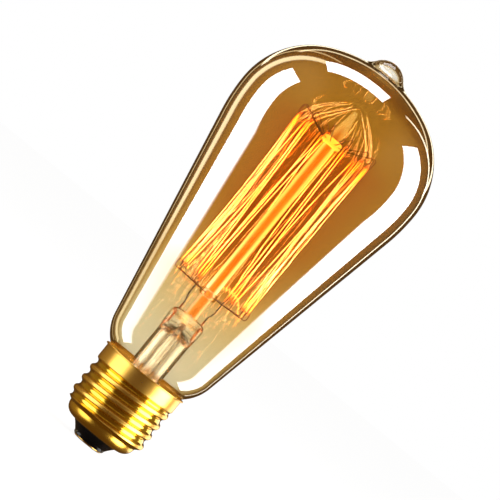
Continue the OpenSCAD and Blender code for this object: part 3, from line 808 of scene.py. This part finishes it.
def cut_bore(piece, along, place, length):
    """Cuts a bore of the exhaust tube's inner size, centred on a place."""
    bm = bmesh.new()
    turn = Vector((0, 0, 1)).rotation_difference(Vector(along)).to_matrix().to_4x4()
    at = Matrix.Translation(Vector(place)) @ turn
    bmesh.ops.create_cone(bm, cap_ends=True, segments=40, radius1=exhaust_bore_r,
                          radius2=exhaust_bore_r, depth=length, matrix=at)
    tool = piece_from(bm, "bore_tool", piece.data.materials[0])
    cut = piece.modifiers.new("bore", "BOOLEAN")
    cut.operation = "DIFFERENCE"
    cut.solver = "EXACT"
    cut.object = tool
    bpy.context.view_layer.update()
    shape = piece.evaluated_get(bpy.context.evaluated_depsgraph_get())
    mesh = bpy.data.meshes.new_from_object(shape)
    piece.modifiers.clear()
    piece.data = mesh
    bpy.data.objects.remove(tool)


def disc(bore, r, low, high, edge):
    """Half outline of a disc with rounded edges, round a bore."""
    return ([(bore, low)] + arc((r - edge, low + edge), edge, -90, 0, 8)
            + arc((r - edge, high - edge), edge, 0, 90, 8) + [(bore, high)])


def insulator_outline():
    """Half outline of the insulator: its cone down to the contact, and its seat in the shell's lip."""
    low, high = (corner.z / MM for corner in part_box("cap_insulator"))
    edge = insulator_edge
    seat_r = lip_r - cap_fit
    return ([(contact_bore_r, low), (insulator_foot_r, low)]
            + arc((insulator_r - edge, low + edge), edge, -80, 0, 6)
            + [(insulator_r + 0.03, low + 0.75), *insulator_cone]
            + [(seat_r, bead_z - cap_fit), (seat_r, insulator_seat_z)]
            + [(insulator_seat_r, insulator_seat_z), (insulator_top_r, high), (contact_bore_r, high)])


# The camera stands in front, level with the lamp's middle, and leans so that the lamp lies aslant

view_distance = 900
view_width = 140.2
view_middle = Vector((1.2, 0, 71.0))
view_lean = 39.2
view_sensor = 36


def add_camera():
    data = bpy.data.cameras.new("camera")
    data.sensor_width = view_sensor
    data.lens = view_sensor * view_distance / view_width
    data.clip_end = 20
    camera = bpy.data.objects.new("camera", data)
    bpy.context.scene.collection.objects.link(camera)
    place = view_middle + Vector((0, -view_distance, 0))
    turn = (Matrix.Rotation(math.radians(90), 4, "X")
            @ Matrix.Rotation(math.radians(view_lean), 4, "Z"))
    camera.matrix_world = Matrix.Translation(place * MM) @ turn
    bpy.context.scene.camera = camera


def light_paths(tree):
    """Rays that see the background, straight or through glass, and rays that gloss has sent elsewhere."""
    rays = tree.node("ShaderNodeLightPath").socket.node
    camera, through, shine, turned_back = (Value(tree, rays.outputs[name]) for name in (
        "Is Camera Ray", "Is Transmission Ray", "Is Glossy Ray", "Glossy Depth"))
    straight = 1 - turned_back.clamped()
    seen = camera.math("MAXIMUM", camera, through * straight)
    return seen, shine.math("MAXIMUM", shine, through) * (1 - seen)


def add_floor():
    """A pale floor under the contact, nearly white to the camera and in the glass."""
    pale = Finish("pale_floor", Base_Color=(0.86, 0.86, 0.85), Roughness=0.8)
    seen, glossy = light_paths(pale)
    shine = pale.node("ShaderNodeEmission", {"Color": WHITE, "Strength": 1.12})
    shader = Value(pale, pale.shader.outputs[0])
    share = seen.math("MAXIMUM", seen, glossy) * 0.8
    surface = pale.node("ShaderNodeMixShader", [share, shader, shine])
    pale.feed(pale.output, {"Surface": surface})
    bm = bmesh.new()
    bmesh.ops.create_grid(bm, x_segments=4, y_segments=4, size=3000)
    floor = piece_from(bm, "floor", pale.material)
    floor.visible_glossy = False
    floor.visible_transmission = False
    floor.visible_shadow = False


def add_world():
    """White to the camera and through the glass. To gloss it is a room with lit sides and a dark front."""
    world = bpy.data.worlds.new("studio")
    world.use_nodes = True
    room = Tree(world.node_tree)
    background = world.node_tree.nodes["Background"]
    seen, glossy = light_paths(room)
    towards = room.node("ShaderNodeTexCoord", output="Generated")
    split = room.node("ShaderNodeSeparateXYZ", [towards]).socket.node
    sideways = Value(room, split.outputs["X"])
    upwards = Value(room, split.outputs["Z"])
    sides = sideways.math("ABSOLUTE", sideways).between(0.35, 0.8)
    studio = sides * 0.17 + upwards.between(0.2, 0.8) * 0.08 + 0.10
    others = 1 - seen.math("MAXIMUM", seen, glossy)
    warm = room.mix(glossy, WHITE, room.mix(sides, (1.0, 0.50, 0.14), (1.0, 0.66, 0.24)))
    room.feed(background, {"Color": warm, "Strength": seen + glossy * studio + others * 0.55})
    bpy.context.scene.world = world


def dim(data, fade, soft):
    """Dims a lamp's face towards its edges, or on one side, sharp at its top and soft at its foot."""
    data.use_nodes = True
    cloth = Tree(data.node_tree)
    across = cloth.node("ShaderNodeNewGeometry", output="Parametric")
    split = cloth.node("ShaderNodeSeparateXYZ", [across]).socket.node
    u, v = (Value(cloth, split.outputs[axis]) for axis in "XY")
    light = 1
    for place, share in zip((u, v), fade):
        if share:
            light = place.math("MINIMUM", place, 1 - place).between(0, share / 2) * light
    if soft:
        side, hard, low, high = soft
        u = 1 - u if side else u
        soft_width = (1 - v.between(low, high)) * (hard - 0.01) + 0.01
        light = ((u - (hard - soft_width)) / soft_width).between(0, 1)
    cloth.feed(data.node_tree.nodes["Emission"], {"Strength": light})


def softbox(lit, name, place, faces, size, radiance, colour=WHITE, fade=(0, 0), soft=None, balanced=True):
    """A rectangular lamp, upright where it faces sideways, that lights the pieces of one collection."""
    data = bpy.data.lights.new(name, "AREA")
    data.shape = "RECTANGLE"
    data.size = size[0] * MM
    data.size_y = size[1] * MM
    # A lamp's power is four times its radiance over its area
    data.energy = radiance * 4 * data.size * data.size_y
    data.color = colour
    data.cycles.use_multiple_importance_sampling = balanced
    if soft or any(fade):
        dim(data, fade, soft)
    lamp = bpy.data.objects.new(name, data)
    bpy.context.scene.collection.objects.link(lamp)
    turn = Vector(faces).to_track_quat("-Z", "Y").to_matrix().to_4x4()
    lamp.matrix_world = Matrix.Translation(Vector(place) * MM) @ turn
    lamp.visible_camera = False
    lamp.visible_transmission = False
    lamp.light_linking.receiver_collection = lit


def lit_pieces(name, pieces):
    """A collection of pieces, for the lamps that light them alone."""
    group = bpy.data.collections.new(name)
    for piece in pieces:
        group.objects.link(piece)
    return group


scene = bpy.context.scene
add_camera()

# Glass
envelope_outline = glass_outline(0, 0) + glass_outline(glass_wall, tip_wall)[::-1]
envelope = keep(turned("envelope_glass", envelope_outline, amber_glass(), glass_steps),
                "amber_glass", "glass_envelope")
clear = clear_glass()
stem = keep(stem_glass(clear), "clear_glass", "stem_flare")
exhaust_mid = (0, exhaust_tip_z + exhaust_r)
exhaust_outline = (arc(exhaust_mid, exhaust_r, -90, 0, 8)
                   + [(exhaust_r, exhaust_top_z), (exhaust_bore_r, exhaust_top_z)]
                   + arc(exhaust_mid, exhaust_bore_r, 0, -90, 8))
exhaust = keep(turned("exhaust_glass", exhaust_outline, clear, exhaust_steps),
               "clear_glass", "exhaust_tube")
rod_outline = [(0, press_top_z), (rod_r, press_top_z), (rod_r, rod_top_z), (0, rod_top_z)]
keep(turned("rod_glass", rod_outline, rod_glass(), small_steps), "clear_glass", "support_rod")
for level, bore, r, low, high, edge, finish in (
        ("upper", 0, upper_button_r, rod_top_z, upper_button_high.z / MM, 1.0, button_glass()),
        ("lower", rod_r + wire_fit, lower_button_r, lower_button_low.z / MM, lower_button_high.z / MM,
         0.8, clear)):
    keep(turned(level + "_button_glass", disc(bore, r, low, high, edge), finish, small_steps),
         "clear_glass", level + "_button")

# Wires
# The supports' dark oxide is their own; their reddish tint and their glow are painted light of the
# filament.
dark = wire_metal("support_wire", (0.16, 0.06, 0.025), (0.05, 0.025, 0.015), metallic=0.5, glow=0.25)
for level, count, azimuth, start_r, wire_z, clear_r, outer_z, hook_z, cage_r in (
        ("upper", support_count, upper_azimuth, upper_button_r - support_sink, upper_wire_z,
         upper_button_r + leg_turn, upper_wire_z + upper_rise, upper_hook_z, cage_top_r),
        ("lower", support_count - 1, lower_azimuth, rod_r + 2 * wire_fit, lower_wire_z,
         lower_button_r + leg_turn, lower_wire_z + lower_rise, lower_hook_z, cage_low_r)):
    for i in range(count):
        path = support_path(azimuth(i), start_r, wire_z, clear_r, outer_z, hook_z, cage_r)
        name = f"{level}_support_{i + 1:02d}"
        keep(wire(name + "_wire", path, drawn_wire * support_r, dark), "support_wire", name)
keep(wire("filament_thread", filament_path(), drawn_thread * filament_r, glowing_filament()),
     "glowing_filament", "filament")
nickel = wire_metal("lead_wire", (0.40, 0.33, 0.27), (0.16, 0.12, 0.10))
copper = wire_metal("copper_wire", (0.72, 0.30, 0.14), (0.45, 0.15, 0.07))
lead_low_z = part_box("inner_lead_left")[0].z / MM
seal_low_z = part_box("seal_wire_left")[0].z / MM
for side, name in ((-1, "left"), (1, "right")):
    top = inner_lead_top(side)
    foot = (side * seal_x, 0, lead_low_z)
    path = [foot, (side * seal_x, 0, lead_low_z + lead_turn / 2),
            (top.x, top.y, lower_button_low.z / MM - lead_turn), top]
    keep(wire(f"inner_lead_{name}_wire", rounded(path, lead_turn), drawn_wire * inner_lead_r, nickel),
         "lead_wire", "inner_lead_" + name)
    keep(wire(f"seal_wire_{name}_wire", [(side * seal_x, 0, seal_low_z), foot], seal_wire_r, copper),
         "copper_wire", "seal_wire_" + name)

# Cap
keep(screw_shell(cap_brass()), "cap_brass", "screw_shell")
insulator = keep(turned("insulator_glass", insulator_outline(), black_glass(), stem_steps),
                 "black_insulator", "cap_insulator")

# Pieces that show the frame's own solids
for finish, names in ((contact_brass(), ["centre_contact"]), (solder(), ["centre_solder", "side_solder"]),
                      (cement(), ["capping_cement"]), (copper, ["outer_lead_centre", "outer_lead_side"])):
    for name in names:
        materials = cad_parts[name].data.materials
        materials.clear()
        materials.append(finish)

# Studio: every lamp with its place, the way it faces, its size, its radiance and the rest
add_floor()
add_world()
sky = {"colour": (0.78, 0.88, 1.0), "balanced": False}
others = [piece for piece in scene.objects
          if piece.type in ("MESH", "CURVE") and piece not in (envelope, insulator)]
for lit, lamps in (
        (lit_pieces("glass_lights", [envelope, insulator]), (
            ("strip_left", (-600, -25, -58), (1, 0, 0), (406, 1085), 4.2,
             {"soft": (1, 0.246, 0.30, 0.68)}),
            ("strip_right", (600, 155, 75), (-1, 0, 0), (483, 1350), 4.2,
             {"soft": (0, 0.145, 0.24, 0.52)}),
            ("strip_above", (-127, 172, 627), (0, 0, -1), (405, 225), 4.2, {}),
            ("edge_left", (-466, 370, 300), (1, -0.8, 0), (150, 1500), 2.0,
             {"colour": (1, 0.84, 0.5), "fade": (0.6, 0)}),
            ("rim_left", (-323, 541, 300), (1, -1.68, 0), (40, 1200), 0.8, {"colour": (1, 0.74, 0.36)}),
            ("rim_right", (348, 525, 350), (-1, -1.51, 0), (40, 1300), 2.4, {"colour": (1, 0.90, 0.68)}),
            ("crown_low", (0, 600, 260), (0, -1, -0.4), (900, 50), 1.8, {"colour": (1, 0.86, 0.6)}),
            ("crown_high", (0, 500, 430), (0, -1, -0.8), (700, 40), 1.3, {"colour": (1, 0.82, 0.5)}))),
        (lit_pieces("inner_lights", [stem, exhaust]), (
            ("stem_left", (-480, -140, 40), (1, 0, 0), (480, 300), 28, sky),
            ("stem_right", (500, 10, 40), (-1, 0, 0), (260, 300), 40, sky),
            ("stem_front", (-140, -700, 40), (0, 1, 0), (300, 300), 6, sky))),
        (lit_pieces("metal_lights", others), (
            ("panel_left", (-620, -320, 40), (2, 1, 0), (850, 1700), 2.0, {"fade": (0.5, 0.5)}),
            ("panel_right", (680, -150, 40), (-4, 1, 0), (740, 1500), 6, {"fade": (0.4, 0.4)}),
            ("panel_edge", (420, 520, 40), (-4, -5, 0), (400, 480), 1.5, {}),
            ("panel_front", (0, -600, 520), (0, 6, -5), (900, 120), 0.3, {})))):
    for name, place, faces, size, radiance, rest in lamps:
        softbox(lit, name, place, faces, size, radiance, **rest)
scene.view_settings.view_transform = "Standard"
scene.cycles.use_denoising = True
scene.cycles.max_bounces = 24
scene.cycles.transmission_bounces = 24
scene.cycles.transparent_max_bounces = 24
